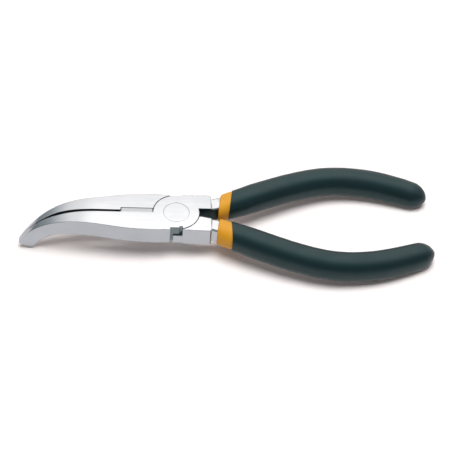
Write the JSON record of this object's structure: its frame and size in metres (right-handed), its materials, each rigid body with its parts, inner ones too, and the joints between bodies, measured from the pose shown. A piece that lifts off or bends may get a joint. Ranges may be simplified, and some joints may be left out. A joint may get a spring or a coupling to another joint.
{
  "type": "needle nose pliers",
  "caption": "Bent-nose pliers with side cutters: chromed halves lapped on a flush rivet, tapering jaws curving down to a fine tip, bowed handles with dark grips over an orange layer.",
  "frame": {"origin": "on the pivot axis, in the flat underside of the joint", "axes": "+Z along the pivot axis out of the joint's upper face, +X from the pivot towards the handles (the nose points along -X and bends towards -Z), XZ is the jaws' parting plane"},
  "size_m": [0.1599, 0.0562, 0.0224],
  "materials": {
    "chromed_steel": "polished chrome plate on forged steel",
    "rivet_steel": "chromed, ground flush with the joint",
    "orange_layer": "smooth satin dipped vinyl",
    "dark_grip": "smooth satin dipped vinyl, dark grey with a green-blue cast"
  },
  "bodies": {
    "lower": {"half_lower": "chromed_steel", "pivot_rivet": "rivet_steel", "inner_sleeve_front": "orange_layer", "outer_sleeve_front": "dark_grip"},
    "upper": {"half_upper": "chromed_steel", "inner_sleeve_rear": "orange_layer", "outer_sleeve_rear": "dark_grip"}
  },
  "joints": [
    {"name": "pivot", "type": "hinge", "parent": "lower", "child": "upper", "pos_m": [0, 0, 0.004], "axis": [0, 0, 1], "range_deg": [0, 27]}
  ]
}
